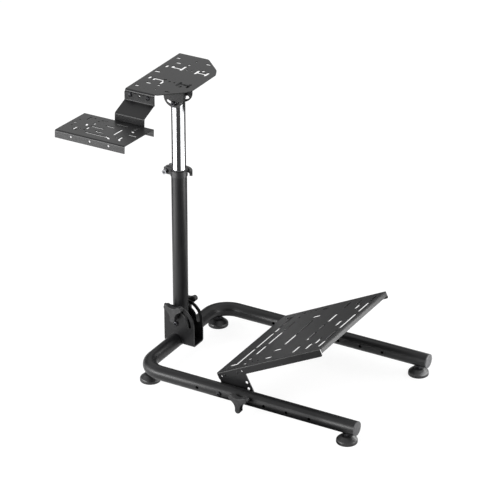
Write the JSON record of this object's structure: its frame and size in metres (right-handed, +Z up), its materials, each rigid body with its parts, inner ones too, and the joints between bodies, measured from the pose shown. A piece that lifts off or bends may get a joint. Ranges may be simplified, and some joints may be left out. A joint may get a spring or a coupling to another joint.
{
  "type": "racing wheel stand",
  "caption": "Folding floor stand of black tube with a height-adjustable column, a tilting wheel plate, a side shelf for a shifter and a sloping pedal plate.",
  "frame": {"origin": "on the floor, under the middle of the stand's overall box", "axes": "+Z up, +X to the driver's right, +Y forward from the column along the legs to the pedals"},
  "size_m": [0.6158, 0.871, 0.867],
  "materials": {
    "black_powder_coat": "satin black powder coat",
    "chrome_tube": "bright chrome plating",
    "black_bolt_steel": "black oxide steel",
    "zinc_bolt_steel": "zinc plated steel",
    "black_collar_metal": "black anodised aluminium",
    "black_knob_plastic": "moulded black nylon",
    "grey_cap_plastic": "moulded polyethylene",
    "foot_rubber": "moulded black rubber"
  },
  "bodies": {
    "base": {"base_tube": "black_powder_coat", "column_bracket": "black_powder_coat", "column_pivot_bolt": "black_bolt_steel", "end_cap_left": "grey_cap_plastic", "end_cap_right": "grey_cap_plastic", "foot_front_left": "foot_rubber", "foot_front_right": "foot_rubber", "foot_rear_left": "foot_rubber", "foot_rear_right": "foot_rubber", "foot_stud_front_left": "black_bolt_steel", "foot_stud_front_right": "black_bolt_steel", "foot_stud_rear_left": "black_bolt_steel", "foot_stud_rear_right": "black_bolt_steel", "pedal_bracket_left": "black_powder_coat", "pedal_bracket_right": "black_powder_coat", "pedal_pivot_bolt_left": "black_bolt_steel", "pedal_pivot_bolt_right": "black_bolt_steel", "pedal_plate": "black_powder_coat", "pedal_screw_left": "black_bolt_steel", "pedal_screw_right": "black_bolt_steel"},
    "column": {"outer_tube": "black_powder_coat", "bushing": "black_knob_plastic", "clamp_collar": "black_collar_metal", "clamp_bolt": "zinc_bolt_steel", "lock_bolt": "black_bolt_steel"},
    "clamp_lever": {"clamp_lever": "black_collar_metal"},
    "mast": {"mast": "chrome_tube", "tilt_pivot_bolt": "black_bolt_steel", "tilt_lock_bolt": "black_bolt_steel"},
    "deck": {"tilt_bracket": "black_powder_coat", "wheel_plate": "black_powder_coat", "shifter_arm": "black_powder_coat", "shifter_plate": "black_powder_coat"},
    "lock_knob_right": {"lock_knob_right": "black_knob_plastic"},
    "lock_knob_left": {"lock_knob_left": "black_knob_plastic"},
    "pedal_knob_right": {"pedal_knob_right": "black_knob_plastic"},
    "pedal_knob_left": {"pedal_knob_left": "black_knob_plastic"}
  },
  "joints": [
    {"name": "column_fold", "type": "hinge", "parent": "base", "child": "column", "pos_m": [-0.04559, -0.2575, 0.103], "axis": [-1, 0, 0], "range_deg": [0, 65]},
    {"name": "mast_slide", "type": "slide", "parent": "column", "child": "mast", "axis": [0, 0, 1], "range_m": [-0.165, 0.05]},
    {"name": "deck_tilt", "type": "hinge", "parent": "mast", "child": "deck", "pos_m": [-0.04559, -0.2575, 0.829], "axis": [1, 0, 0], "range_deg": [-30, 30]},
    {"name": "clamp_lever_swing", "type": "hinge", "parent": "column", "child": "clamp_lever", "pos_m": [-0.06438, -0.294, 0.574], "axis": [0, 0, 1], "range_deg": [0, 90]},
    {"name": "lock_knob_right_turn", "type": "hinge", "parent": "column", "child": "lock_knob_right", "pos_m": [-0.01859, -0.2575, 0.147], "axis": [1, 0, 0], "continuous": true},
    {"name": "lock_knob_left_turn", "type": "hinge", "parent": "column", "child": "lock_knob_left", "pos_m": [-0.07258, -0.2575, 0.147], "axis": [1, 0, 0], "continuous": true},
    {"name": "pedal_knob_right_turn", "type": "hinge", "parent": "base", "child": "pedal_knob_right", "pos_m": [0.19442, 0.0813, 0.05], "axis": [1, 0, 0], "continuous": true},
    {"name": "pedal_knob_left_turn", "type": "hinge", "parent": "base", "child": "pedal_knob_left", "pos_m": [-0.28558, 0.0813, 0.05], "axis": [1, 0, 0], "continuous": true}
  ]
}
